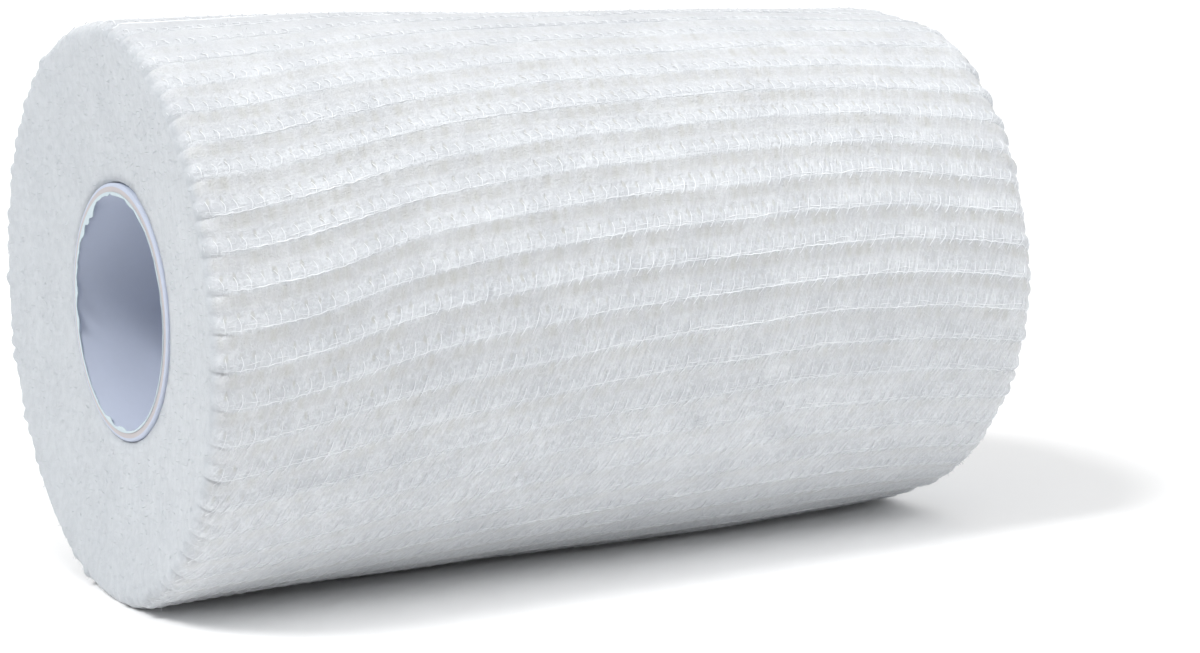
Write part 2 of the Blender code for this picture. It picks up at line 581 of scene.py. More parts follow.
@dataclass(frozen=True)
class GauzeFinish(Finish):
    """The ground of the wound cloth: weave on the side, felt on the cut ends.

    Attributes:
        sunken_colour: Colour of the hollows under the cords: painted shade where the rib above keeps the
            light off, partly the thinner cloth there.
        hollow_colour: Warm dark colour of the gaps in the hollows and of the small holes: the elastic's own
            tint, with painted shade of the layers beneath.
        cord_colour: Colour along the ribs' cords.
        felt_colour: Colour of the felted ends, painted darker than the side as shade in their deep pile.
        comb_colour: Colour between the combed fibres.
        hollow_strength: How strong the painted shade in the hollows is, 0 to 1.
        gap_strength: How strong the painted shade and elastic tint in the gaps between the warps are, 0 to
            1.
        comb_strength: How much the combed fibres show, 0 to 1.
        hole_strength: How strong the painted shade in the small holes between the loops is, 0 to 1.
        web_strength: How much the web of pale fibres shows, 0 to 1.
        pile_colour: Colour of the dull patches in the felt.
        pile_size: Size of those patches.
        hole_size: Half width and half height of a hole, as shares of the warps' and the ribs' pitch.
    """

    sunken_colour: Colour = (0.58, 0.585, 0.60)
    hollow_colour: Colour = (0.48, 0.48, 0.45)
    cord_colour: Colour = (0.80, 0.83, 0.86)
    felt_colour: Colour = (0.46, 0.49, 0.52)
    comb_colour: Colour = (0.43, 0.45, 0.48)
    hollow_strength: float = 0.35
    gap_strength: float = 0.62
    comb_strength: float = 0.60
    hole_strength: float = 0.60
    web_strength: float = 0.30
    pile_colour: Colour = (0.40, 0.43, 0.46)
    pile_size: float = 0.9 * MM
    hole_size: tuple[float, float] = (0.18, 0.15)

    def build(self, cotton: Tree) -> Material:
        """Make the finished material.

        Args:
            cotton: The shared cotton group.

        Returns:
            The material.
        """
        graph, shader, placed = self.base(cotton)
        felted = graph.add("ShaderNodeAttribute", attribute_name=FELT).outputs["Fac"]
        felt = graph.ranged(felted, 0.34, 0.86)
        flat = graph.add("ShaderNodeUVMap", uv_map=CLOTH_UV).outputs[0]
        across, around, _ = graph.split(flat)
        reach = graph.reach(across, around)
        # Painted light: the side's marks fade towards the top, where the light falls full, and low on the
        # front.
        on_side = graph.times(graph.minus(1.0, felt), graph.ranged(around, 0.41, 0.55, 0.25))
        in_ribs = graph.times(on_side, graph.ranged(around, 0.64, 0.75, 1.0, 0.5))

        share = graph.maths("FRACT", graph.times(around, float(RIB_COUNT)))
        frayed = graph.woven_noise(flat, 3.0, 1.5)
        past_cord = graph.maths("FRACT", graph.plus(graph.times_plus(frayed, 0.16, share), 0.04))
        under_cord = graph.ranged(past_cord, 0.0, 0.12)
        hollow = graph.times(under_cord, graph.ranged(past_cord, 0.34, 0.80, 1.0, 0.0))
        # Painted shade: the hollow under each cord is darkened where the rib above would shade it, partly
        # for the thinner cloth there.
        hollow_shade = graph.times(hollow, in_ribs, self.hollow_strength)

        warp_wave = graph.maths("COSINE", graph.times(across, math.tau * WARP_COUNT))
        gap = graph.ranged(warp_wave, -0.9, 0.9, 0.55)
        chance = graph.ranged(graph.woven_noise(flat, 0.8, 0.7, 3.0), -0.22, 0.24)
        foot = graph.times(under_cord, graph.ranged(past_cord, 0.30, 0.50, 1.0, 0.0))
        # Painted shade with the elastic's warm tint in the gaps between the warps, where the layers beneath
        # lie in shade.
        gap_shade_and_elastic = graph.times(gap, chance, foot, in_ribs, self.gap_strength)

        combing = graph.times(self.combing(graph, flat, reach), on_side)
        streaked = graph.ranged(combing, -0.35, 0.35, 0.0, self.comb_strength)
        fading = graph.woven_noise(flat, 0.5, 0.9, 1.0)
        cord = graph.times(graph.ranged(past_cord, 0.90, 0.96), in_ribs)
        cord_light = graph.times(cord, graph.ranged(fading, -0.25, 0.25, 0.0, 0.45))
        # Painted shade in the small holes between the loops, weaker low on the front.
        low_calm = graph.ranged(reach, 0.66, 0.77, self.hole_strength, 0.3 * self.hole_strength)
        holes = graph.times(self.holes(graph, flat), on_side, low_calm)
        web = graph.times(self.web(graph, flat), on_side, self.web_strength)

        side_colour = placed.outputs["Colour"]
        for shown, colour in (
            (streaked, self.comb_colour),
            (web, self.cord_colour),
            (holes, self.hollow_colour),
            (hollow_shade, self.sunken_colour),
            (gap_shade_and_elastic, self.hollow_colour),
            (cord_light, self.cord_colour),
        ):
            side_colour = graph.blend(shown, side_colour, colour)
        place = graph.add("ShaderNodeTexCoord").outputs["Object"]
        pile = graph.noise(place, 1.0 / self.pile_size, 3.0)
        # Painted shade: the cut ends are coloured darker than the side.
        patchy = graph.blend(graph.ranged(pile, -0.2, 0.2, 0.0, 0.9), self.felt_colour, self.pile_colour)
        speckled = graph.blend(0.25, patchy, placed.outputs["Colour"])
        graph.feed(shader, "Base Color", graph.blend(felt, side_colour, speckled))

        fine = graph.times(placed.outputs["Height"], graph.times_plus(felt, -0.5, 1.0))
        fibres = graph.times_plus(combing, 0.8, fine)
        piled = graph.plus(fibres, graph.times(pile, felt, 1.1))
        webbed = graph.times_plus(web, 0.5, piled)
        pits = graph.times(graph.plus(gap_shade_and_elastic, holes), 0.8)
        self.raise_surface(graph, shader, graph.minus(webbed, pits))
        return bpy.data.materials[self.name]

    def combing(self, graph: Graph, flat: Socket, reach: Socket) -> Socket:
        """Fine strokes along the warps and lines along the ribs, about -0.5 to 0.5.

        Low on the front, where the cloth is pulled askew, the strokes lean and grow, and the lines fade.

        Args:
            graph: The material's graph.
            flat: The cloth's flat coordinates.
            reach: How far a place lies towards the pulled region.

        Returns:
            The strokes' and lines' socket.
        """
        across, around, _ = graph.split(flat)
        low_pull = graph.ranged(reach, 0.62, 0.74)
        drawn_askew = graph.times(graph.maths("MAXIMUM", graph.minus(reach, 0.62), 0.0), 0.9)
        slanted = graph.joined(graph.plus(across, drawn_askew), around)
        strokes = graph.times(graph.woven_noise(slanted, 4.0, 1.6), graph.times_plus(low_pull, 0.9, 0.65))
        lines = graph.times(graph.woven_noise(flat, 1.2, 9.0), graph.times_plus(low_pull, -0.35, 0.8))
        return graph.plus(strokes, lines)

    def holes(self, graph: Graph, flat: Socket) -> Socket:
        """Mask of the small holes, which lie between the loops at their upper ends and are painted dark as
        shade.

        Args:
            graph: The material's graph.
            flat: The cloth's flat coordinates.

        Returns:
            The mask's socket.
        """
        cells = graph.vector("MULTIPLY", flat, (float(WARP_COUNT), float(RIB_COUNT), 1.0))
        wander = graph.stretched_noise(cells, (1.7, 1.3, 1.0))
        seats, squares = [], []
        for place, sway, middle, size in zip(graph.split(cells), (0.5, 0.22), (0.05, 0.10), self.hole_size):
            shifted = graph.times_plus(wander, sway, graph.minus(place, middle))
            off = graph.maths("DIVIDE", graph.minus(graph.maths("FRACT", shifted), 0.5), size)
            seats.append(graph.maths("FLOOR", shifted))
            squares.append(graph.maths("POWER", off, 2.0))
        away = graph.maths("SQRT", graph.plus(*squares))
        cell = graph.joined(*seats)
        drawn = graph.out("ShaderNodeTexWhiteNoise", {"Vector": cell}, noise_dimensions="2D")
        return graph.times(graph.ranged(away, 0.35, 1.0, 1.0, 0.0), graph.ranged(drawn, 0.0, 0.8, 0.2))

    def web(self, graph: Graph, flat: Socket) -> Socket:
        """Mask of thin winding fibres, pale lines where a noise crosses zero."""
        crossing = graph.maths("ABSOLUTE", graph.woven_noise(flat, 1.5, 3.6, 1.0))
        return graph.ranged(crossing, 0.0, 0.055, 1.0, 0.0)


@dataclass(frozen=True)
class TubeFinish(Finish):
    """The plain tube: a pale plastic wall with a dull cut face.

    Attributes:
        cut_colour: Colour of the cut face.
    """

    cut_colour: Colour = (0.49, 0.46, 0.47)

    def build(self, cotton: Tree) -> Material:
        """Make the finished material.

        Args:
            cotton: The shared cotton group.

        Returns:
            The material.
        """
        graph, shader, placed = self.base(cotton)
        cut = graph.add("ShaderNodeAttribute", attribute_name=CUT).outputs["Fac"]
        colour = graph.blend(cut, placed.outputs["Colour"], self.cut_colour)
        graph.feed(shader, "Base Color", colour)
        self.raise_surface(graph, shader, placed.outputs["Height"])
        return bpy.data.materials[self.name]


# ---------------------------------------------------------------------------------------------
# Wound cloth
# ---------------------------------------------------------------------------------------------


@dataclass
class RollForm:
    """Form of the wound cloth, in the roll's own terms.

    Attributes:
        half_width: Half the cloth's width.
        axis_height: Height of the roll's axis.
        core_centre: Place of the core's axis in Y and Z.
        hole_radius: Radius of the hole in the cloth.
        radius: Radius to the rib crests.
        near_shoulder: Rounding of the near edge.
        far_shoulder: Rounding of the far edge.
        dish: Depth that the end faces sink.
        rib_height: Height of the ribs.
        rib_fade_radius: Radius by which the ribs die out on the end faces.
        flat_spread: Degrees beside the bottom where the ribs are pressed flat.
        lap_height: Step at the outer cut end.
        lap_taper: Degrees over which the last turn sinks.
        lap_rim_share: Share of the step that is left at the rims.
        start_angle: Where the inner cut end lies, in degrees.
        start_height: Gap that the inner cut end leaves beside the core.
        start_taper: Degrees over which that gap opens before the inner cut end.
        start_lip: Degrees over which it closes at the cut end.
        rim_fade: Width beside each cut edge over which the ribs grow softer.
        rim_relief: Share of the ribs' height that is left at the cut edges.
        rim_rise: How far the ribs level out beside the near cut edge.
        rim_rise_reach: Width over which they do.
        crest: Place of a rib's crest, as a share of its pitch.
        slope: Share of the pitch that each slope of a rib takes.
        sway_share: How far the ribs move to and fro, as a share of the pitch.
        puff_share: How much the ribs' height varies.
        drift_height: How far the whole winding swells and sinks.
        sway: Noise that moves the ribs to and fro.
        puff: Noise that makes them higher and lower.
        drift: Noise that lets the whole winding swell and sink.
    """

    half_width: float
    axis_height: float
    core_centre: tuple[float, float]
    hole_radius: float
    radius: float = 30.3 * MM
    near_shoulder: float = 1.8 * MM
    far_shoulder: float = 3.2 * MM
    dish: float = 2.2 * MM
    rib_height: float = 0.24 * MM
    rib_fade_radius: float = 27.6 * MM
    flat_spread: float = 13.0
    lap_height: float = 0.4 * MM
    lap_taper: float = 55.0
    lap_rim_share: float = 0.35
    start_angle: float = 112.0
    start_height: float = 0.30 * MM
    start_taper: float = 34.0
    start_lip: float = 5.0
    rim_fade: float = 3.0 * MM
    rim_relief: float = 0.2
    rim_rise: float = 0.6 * MM
    rim_rise_reach: float = 2.5 * MM
    crest: float = 0.93
    slope: float = 0.42
    sway_share: float = 0.05
    puff_share: float = 0.18
    drift_height: float = 0.12 * MM
    sway: Unevenness = field(default_factory=lambda: Unevenness(11, 10, 26))
    puff: Unevenness = field(default_factory=lambda: Unevenness(23, 18, RIB_COUNT))
    drift: Unevenness = field(default_factory=lambda: Unevenness(37, 7, 16))

    def bow(self, along: np.ndarray) -> np.ndarray:
        """Rise of a rib at places along X, from a smooth curve through RIB_BOW.

        Args:
            along: Places along X.

        Returns:
            The rise, in metres.
        """
        places = np.array([row[0] for row in RIB_BOW]) * MM
        rises = np.array([row[1] for row in RIB_BOW]) * MM
        slopes = np.gradient(rises, places)
        held = np.clip(along, places[0], places[-1])
        row = np.clip(np.searchsorted(places, held) - 1, 0, len(places) - 2)
        span = places[row + 1] - places[row]
        t = (held - places[row]) / span
        return (
            rises[row] * (2 * t**3 - 3 * t**2 + 1)
            + slopes[row] * span * (t**3 - 2 * t**2 + t)
            + rises[row + 1] * (3 * t**2 - 2 * t**3)
            + slopes[row + 1] * span * (t**3 - t**2)
        )

    def section(self, share: np.ndarray) -> np.ndarray:
        """Height share of the rib section: a crest at the cord, a drop, a hollow and a rise."""
        past_crest = (share - self.crest) % 1.0
        rise = (past_crest - (1.0 - self.slope)) / self.slope
        return 1.0 - smooth(past_crest / self.slope) + smooth(rise)

    def place(self, along: np.ndarray, radius: np.ndarray, turn: np.ndarray, sink: float) -> np.ndarray:
        """Points of the cloth.

        Args:
            along: Places along X on the plain profile.
            radius: Radii on the plain profile.
            turn: Ribs passed since the outer cut end, 0 to RIB_COUNT.
            sink: How far the surface lies under the crests' threads.

        Returns:
            An array of points.
        """
        across = (along + self.half_width) / (2.0 * self.half_width)
        around = turn / RIB_COUNT
        outward = (radius - self.hole_radius) / (self.radius - self.hole_radius)
        on_side = smooth((radius - self.rib_fade_radius) / (self.radius - self.rib_fade_radius))

        straight = (LAP_RIB + turn) * RIB_PITCH
        ends = smooth(around * RIB_COUNT) * smooth((1.0 - around) * RIB_COUNT)
        centre, spread, push = LOW_PUSH
        low_front = push * np.exp(-0.5 * ((straight - centre) / spread) ** 2)
        to_and_fro = self.sway_share * self.sway.at(across, around) * ends
        swayed = straight + RIB_PITCH * (low_front + to_and_fro) * on_side
        levelled = self.rim_rise * np.exp(-(along + self.half_width) / self.rim_rise_reach)
        angle = swayed - np.degrees((self.bow(along) + levelled) / self.radius) * outward

        pressed = smooth(np.abs(signed_turn(angle, 270.0)) / self.flat_spread)
        rim = smooth((self.half_width - np.abs(along)) / self.rim_fade)
        height = self.rib_height * (self.rim_relief + (1.0 - self.rim_relief) * rim) * self.calm(straight)
        uneven_height = height * (1.0 + self.puff_share * self.puff.at(across, around))
        middle = 0.5 * (height + self.rib_height)
        relief = (uneven_height * self.section(turn % 1.0) - middle) * on_side * pressed
        uneven = self.swells(angle, along) + self.drift_height * self.drift.at(across, around)
        lap = self.lap(along, around)
        hollow = self.start_gap(angle) * (1.0 - smooth(outward * 3.0))
        final = radius + relief + (uneven + lap) * smooth(outward) + hollow - sink * on_side

        shift = 1.0 - outward
        y = final * np.cos(np.radians(angle)) + self.core_centre[0] * shift
        z = final * np.sin(np.radians(angle)) + self.axis_height * outward + self.core_centre[1] * shift
        return np.stack([along + 0.0 * turn, y, np.maximum(z, 0.0)], axis=-1)

    def calm(self, angle: np.ndarray) -> np.ndarray:
        """Share of the ribs' height that is left where the cloth is drawn flatter."""
        left = np.ones(angle.shape)
        for centre, spread, loss in FLATTER:
            left -= loss * np.exp(-0.5 * (signed_turn(angle, centre) / spread) ** 2)
        return left

    def swells(self, angle: np.ndarray, along: np.ndarray) -> np.ndarray:
        """Sum of the soft dents and swells at each place."""
        total = np.zeros(np.broadcast(angle, along).shape)
        for centre, spread, place, reach, height in SWELLS:
            around = signed_turn(angle, centre) / spread
            across = (along / MM - place) / reach
            total += height * MM * np.exp(-0.5 * (around**2 + across**2))
        return total

    def lap(self, along: np.ndarray, around: np.ndarray) -> np.ndarray:
        """Step of the outer cut end, tapering over the turn before it."""
        back = (1.0 - around) * 360.0
        rim = smooth((self.half_width - np.abs(along)) / (4.0 * MM))
        share = self.lap_rim_share + (1.0 - self.lap_rim_share) * rim
        return self.lap_height * share * (1.0 - smooth(back / self.lap_taper))

    def start_gap(self, angle: np.ndarray) -> np.ndarray:
        """Gap that the inner cut end leaves beside the core."""
        turn = signed_turn(angle, self.start_angle)
        opening = 1.0 - smooth(-turn / self.start_taper)
        quick = 1.0 - smooth(turn / self.start_lip)
        slow = 1.0 - smooth(turn / self.start_taper)
        closing = 0.7 * quick + 0.3 * slow
        return self.start_height * np.where(turn < 0.0, opening, closing)


@dataclass
class WoundCloth:
    """The ground of the cloth: one closed skin around the whole winding.

    Attributes:
        form: The roll's form.
        sink: How far the ground lies under the crests' threads.
        shares: Places of the columns in each rib.
        side_step: Distance between rows on the side.
        face_rows: Rows on each end face.
        shoulder_rows: Rows on each rounded edge.
        hole_rows: Rows along the hole's wall.
        rim_loops: Height of the loops along both rims.
        rim_loop_count: Loops in each rib along a rim.
        face_lumps: Height of the soft lumps on the end faces.
    """

    form: RollForm
    sink: float = 0.14 * MM
    shares: tuple[float, ...] = (0.0, 0.08, 0.17, 0.27, 0.37, 0.47, 0.57, 0.66, 0.75, 0.82, 0.88, 0.94)
    side_step: float = 1.0 * MM
    face_rows: int = 12
    shoulder_rows: int = 7
    hole_rows: int = 3
    rim_loops: float = 0.50 * MM
    rim_loop_count: int = 2
    face_lumps: float = 0.03 * MM

    def profile(self) -> np.ndarray:
        """Rows of the closed profile, from the near hole out, over the side and back.

        Returns:
            Rows of (along, radius, felt share), with the first row at the near hole.
        """
        form = self.form
        half = form.half_width
        near_rim = form.radius - form.near_shoulder
        far_rim = form.radius - form.far_shoulder
        rows: list[tuple[float, float, float]] = []
        for step in range(self.face_rows):
            share = step / self.face_rows
            radius = form.hole_radius + (near_rim - form.hole_radius) * share
            rows.append((form.dish * (1.0 - share) - half, radius, 1.0))
        for step in range(self.shoulder_rows):
            turn = math.pi * (1.0 - 0.5 * step / self.shoulder_rows)
            along = form.near_shoulder - half + form.near_shoulder * math.cos(turn)
            radius = near_rim + form.near_shoulder * math.sin(turn)
            rows.append((along, radius, 1.0 - step / self.shoulder_rows))
        start = form.near_shoulder - half
        end = half - form.far_shoulder
        count = round((end - start) / self.side_step)
        rows += [(start + (end - start) * step / count, form.radius, 0.0) for step in range(count)]
        for step in range(self.shoulder_rows + 1):
            turn = 0.5 * math.pi * (1.0 - step / self.shoulder_rows)
            along = end + form.far_shoulder * math.cos(turn)
            rows.append((along, far_rim + form.far_shoulder * math.sin(turn), step / self.shoulder_rows))
        for step in range(1, self.face_rows + 1):
            share = 1.0 - step / self.face_rows
            radius = form.hole_radius + (far_rim - form.hole_radius) * share
            rows.append((half - form.dish * (1.0 - share), radius, 1.0))
        for step in range(1, self.hole_rows):
            share = step / self.hole_rows
            rows.append(((half - form.dish) * (1.0 - 2.0 * share), form.hole_radius, 1.0))
        return np.array(rows)

    def side_length(self) -> float:
        """Width of the cloth over both rounded edges."""
        form = self.form
        edges = 0.5 * math.pi * (form.near_shoulder + form.far_shoulder)
        return 2.0 * form.half_width - form.near_shoulder - form.far_shoulder + edges

    def build(self, material: Material) -> Item:
        """Make the skin with its flat coordinates and masks.

        Args:
            material: Finish of the skin.

        Returns:
            The piece.
        """
        rows = self.profile()
        turns = np.array([rib + share for rib in range(RIB_COUNT) for share in self.shares])
        along, radius, felt = (rows[:, k][:, None] for k in range(3))
        points = self.form.place(along, radius, turns[None, :], self.sink)
        points = self.roughen_faces(points, felt, turns)

        steps = np.hypot(*np.diff(rows[:, :2], axis=0, append=rows[:1, :2]).T)
        lengths = np.concatenate([[0.0], np.cumsum(steps)])
        u = ((lengths - lengths[self.face_rows]) / self.side_length())[:, None]
        v = (np.append(turns, float(RIB_COUNT)) / RIB_COUNT)[None, :]
        corners = ((u[:-1], v[:, :-1]), (u[:-1], v[:, 1:]), (u[1:], v[:, 1:]), (u[1:], v[:, :-1]))
        flat = np.array([np.broadcast_arrays(*corner) for corner in corners]).transpose(2, 3, 0, 1)

        mesh = closed_mesh("cloth_ground", points, material)
        layer = mesh.uv_layers.new(name=CLOTH_UV)
        layer.data.foreach_set("uv", np.ascontiguousarray(flat).reshape(-1))
        everywhere = np.ones((1, len(turns)))
        self.store(mesh, FELT, felt * everywhere)
        self.store(mesh, BARE, (radius <= self.form.hole_radius) * everywhere)
        self.store_outward(mesh, rows, points)
        return added("cloth_ground", mesh)

    def roughen_faces(self, points: np.ndarray, felt: np.ndarray, turns: np.ndarray) -> np.ndarray:
        """Press soft unevenness into the end faces and draw out the loops along the rims.

        Args:
            points: Grid of points, rows by columns.
            felt: Felt share of each row.
            turns: Ribs passed at each column.

        Returns:
            The changed grid.
        """
        rows, columns = points.shape[:2]
        across = np.linspace(0.0, 1.0, rows)[:, None] + np.zeros((1, columns))
        around = np.zeros((rows, 1)) + np.linspace(0.0, 1.0, columns)[None, :]
        seam_share = 1.0 / 40.0
        fade = np.minimum(smooth(around[0] / seam_share), smooth((1.0 - around[0]) / seam_share))[None, :]
        lumps = Unevenness(51, rows // 2, 60).at(across, around) * self.face_lumps
        points[..., 0] += lumps * felt * fade

        counted = turns * self.rim_loop_count
        sizes = np.random.default_rng(52).uniform(0.35, 1.25, (2, RIB_COUNT * self.rim_loop_count))
        lobes = np.abs(np.sin(np.pi * counted)) ** 0.7 * sizes[:, counted.astype(int)]
        side = np.sign(points[..., :1].mean(axis=1))
        drawn_out = np.where(side < 0.0, lobes[0], lobes[1]) - 0.4
        on_rim = np.minimum(1.0, 4.6 * felt * (1.0 - felt))  # full half way over the edge, none on a face
        arms = self.arms(points)
        clear = smooth((points[..., 2] - 0.3 * MM) / (1.0 * MM))
        push = 0.7 * drawn_out * self.rim_loops * on_rim * fade * clear
        points[..., 1:] += arms * push[..., None]
        points[..., 0] += push * side
        return points

    def arms(self, points: np.ndarray) -> np.ndarray:
        """Directions in Y and Z from the roll's axis to each point."""
        arms = points[..., 1:] - np.array([0.0, self.form.axis_height])
        return arms / np.linalg.norm(arms, axis=-1, keepdims=True)

    @staticmethod
    def store(mesh: bpy.types.Mesh, name: str, values: np.ndarray) -> None:
        """Keep a number for each point as a named attribute."""
        layer = mesh.attributes.new(name, "FLOAT", "POINT")
        layer.data.foreach_set("value", np.ascontiguousarray(values, dtype=np.float32).reshape(-1))

    def store_outward(self, mesh: bpy.types.Mesh, rows: np.ndarray, points: np.ndarray) -> None:
        """Keep the direction away from the plain profile, which threads rise along.

        Args:
            mesh: The skin.
            rows: Rows of the profile.
            points: Grid of points.
        """
        ahead = np.roll(rows[:, :2], -1, axis=0) - np.roll(rows[:, :2], 1, axis=0)
        normal = np.stack([-ahead[:, 1], ahead[:, 0]], axis=-1)
        normal /= np.linalg.norm(normal, axis=1, keepdims=True)
        arms = self.arms(points)
        along = np.broadcast_to(normal[:, None, :1], arms.shape[:2] + (1,))
        outward = np.concatenate([along, arms * normal[:, None, 1:]], axis=-1)
        layer = mesh.attributes.new(OUTWARD, "FLOAT_VECTOR", "POINT")
        layer.data.foreach_set("vector", np.ascontiguousarray(outward, dtype=np.float32).reshape(-1))


def lay_on_cloth_group() -> Tree:
    """Geometry group that lays flat work on the wound cloth.

    Flat work has U in X, V in Y and its height in Z. The group reads the ground's point and its
    outward direction at that U and V.

    Returns:
        The group, with inputs Work and Ground and output Laid.
    """
    inputs = {"Work": "Geometry", "Ground": "Object"}
    graph = Graph.group("lay_on_cloth", "GeometryNodeTree", inputs, {"Laid": "Geometry"})
    ground = graph.add("GeometryNodeObjectInfo", {"Object": graph.inputs["Ground"]}).outputs["Geometry"]
    position = graph.out("GeometryNodeInputPosition")
    u, v, height = graph.split(position)
    held_v = graph.maths("MINIMUM", graph.maths("MAXIMUM", v, SEAM_MARGIN), 1.0 - SEAM_MARGIN)
    common = {
        "Mesh": ground,
        "UV Map": graph.attribute(CLOTH_UV, "FLOAT_VECTOR"),
        "Sample UV": graph.joined(u, held_v),
    }
    seat, outward = (
        graph.out("GeometryNodeSampleUVSurface", common, data_type="FLOAT_VECTOR") for _ in range(2)
    )
    graph.feed(seat.node, "Value", position)
    graph.feed(outward.node, "Value", graph.attribute(OUTWARD, "FLOAT_VECTOR"))
    x, y, z = graph.split(graph.vector("ADD", seat, graph.scaled(outward, height)))
    clear = graph.joined(x, y, graph.maths("MAXIMUM", z, FLOOR_CLEARANCE))
    laid = graph.out("GeometryNodeSetPosition", {"Geometry": graph.inputs["Work"], "Position": clear})
    graph.feed(graph.end, "Laid", laid)
    return graph.tree


THREAD_INPUTS = {
    "Ground": "Object",
    "Finish": "Material",
    "Points": 2,
    "Radius": 0.1 * MM,
    "Sides": 3,
    "Height": 0.0,
    "Rows": RIB_COUNT,
}


def flat_copies(graph: Graph, start: Direction, end: Direction, seats: Socket) -> Socket:
    """Make a straight thread at every seat.

    Args:
        graph: The thread tree.
        start: Where a thread starts.
        end: Where it ends.
        seats: Points that get a thread.

    Returns:
        The threads' socket.
    """
    line = graph.out("GeometryNodeCurvePrimitiveLine", {"Start": start, "End": end})
    thread = graph.out("GeometryNodeResampleCurve", {"Curve": line, "Count": graph.inputs["Points"]})
    copies = graph.out("GeometryNodeInstanceOnPoints", {"Points": seats, "Instance": thread})
    return graph.out("GeometryNodeRealizeInstances", {"Geometry": copies})


def finish_threads(
    graph: Graph, flat: Socket, place: Socket, lay: Tree, thickness: Any
) -> None:
    """Bend flat threads, lay them on the cloth and give them a body and a finish.

    Args:
        graph: The thread tree.
        flat: The straight threads.
        place: Place of each point in U, V and height.
        lay: The group that lays work on the cloth.
        thickness: Share of the radius along each thread.
    """
    given = graph.inputs
    moved = graph.out("GeometryNodeSetPosition", {"Geometry": flat, "Position": place})
    placed = graph.add("GeometryNodeGroup", node_tree=lay)
    graph.feed(placed, "Work", moved)
    graph.feed(placed, "Ground", given["Ground"])
    feeds = {"Resolution": given["Sides"], "Radius": given["Radius"]}
    ring = graph.out("GeometryNodeCurvePrimitiveCircle", feeds)
    feeds = {"Curve": placed.outputs["Laid"], "Profile Curve": ring, "Scale": thickness, "Fill Caps": True}
    finish(graph, "Threads", graph.out("GeometryNodeCurveToMesh", feeds))


def finish(graph: Graph, name: str, body: Socket) -> None:
    """Give a body flat shading and its material, and send it out of the tree.

    Args:
        graph: The tree.
        name: Name of the tree's output.
        body: The body.
    """
    plain = graph.out("GeometryNodeSetShadeSmooth", {"Geometry": body, "Shade Smooth": False})
    real = graph.out("GeometryNodeRealizeInstances", {"Geometry": plain})
    dressed = graph.out("GeometryNodeSetMaterial", {"Geometry": real, "Material": graph.inputs["Finish"]})
    graph.feed(graph.end, name, dressed)


def slimmer_on_top(graph: Graph, v: Socket) -> Socket:
    """Share of the threads' thickness at V, less on the top of the roll, where they lie flat."""
    away = graph.maths("ABSOLUTE", graph.minus(v, TOP_V))
    return graph.ranged(away, 0.05, 0.16, 0.35)


def weft_tree(lay: Tree) -> Tree:
    """Tree for threads that run across the cloth, one in each rib.

    Args:
        lay: The group that lays work on the cloth.

    Returns:
        The tree.
    """
    inputs = {**THREAD_INPUTS, "Place": 0.5, "Weave": 0.0, "Sway": 0.0, "Scallop": 0.0}
    graph = Graph.group("weft_threads", "GeometryNodeTree", inputs, {"Threads": "Geometry"})
    given = graph.inputs
    pitch = 1.0 / RIB_COUNT
    first = graph.joined(0.0, graph.times(given["Place"], pitch))
    feeds = {"Count": given["Rows"], "Start Location": first, "Offset": (0.0, pitch, 0.0)}
    ribs = graph.out("GeometryNodeMeshLine", feeds)
    flat = flat_copies(graph, (WEFT_START, 0.0, 0.0), (WEFT_END, 0.0, 0.0), ribs)

    u, v, _ = graph.split(graph.out("GeometryNodeInputPosition"))
    seat = graph.joined(u, graph.times(v, float(RIB_COUNT)), given["Place"])
    slow = graph.stretched_noise(seat, (14.0, 3.7, 7.0))
    quick = graph.stretched_noise(seat, (70.0, 5.3, 9.0))
    swayed = graph.times_plus(quick, 0.35, slow)
    cycles = graph.times(u, WARP_COUNT * math.pi)
    bulge = graph.times(graph.maths("ABSOLUTE", graph.maths("SINE", cycles)), given["Scallop"])
    aside = graph.times_plus(swayed, given["Sway"], bulge)
    shifted = graph.times_plus(aside, pitch, v)
    phase = graph.times(given["Place"], 40.0)
    over = graph.times(graph.maths("SINE", graph.plus(cycles, phase)), given["Weave"])
    near = graph.ranged(u, WEFT_START, 0.020, -WEFT_DIP, 0.0)
    far = graph.ranged(u, 0.968, WEFT_END, 0.0, -WEFT_DIP)
    height = graph.plus(graph.plus(given["Height"], over), graph.plus(near, far))

    patchy = graph.stretched_noise(seat, (110.0, 6.1, 4.0))
    plump = graph.ranged(graph.plus(patchy, slow), -0.30, 0.30, 0.15, 1.1)
    pulled = graph.ranged(graph.reach(u, v), PULL_START, PULL_FULL, 1.0, 0.6)
    slim = graph.times(pulled, slimmer_on_top(graph, v))
    finish_threads(graph, flat, graph.joined(u, shifted, height), lay, graph.times(plump, slim))
    return graph.tree


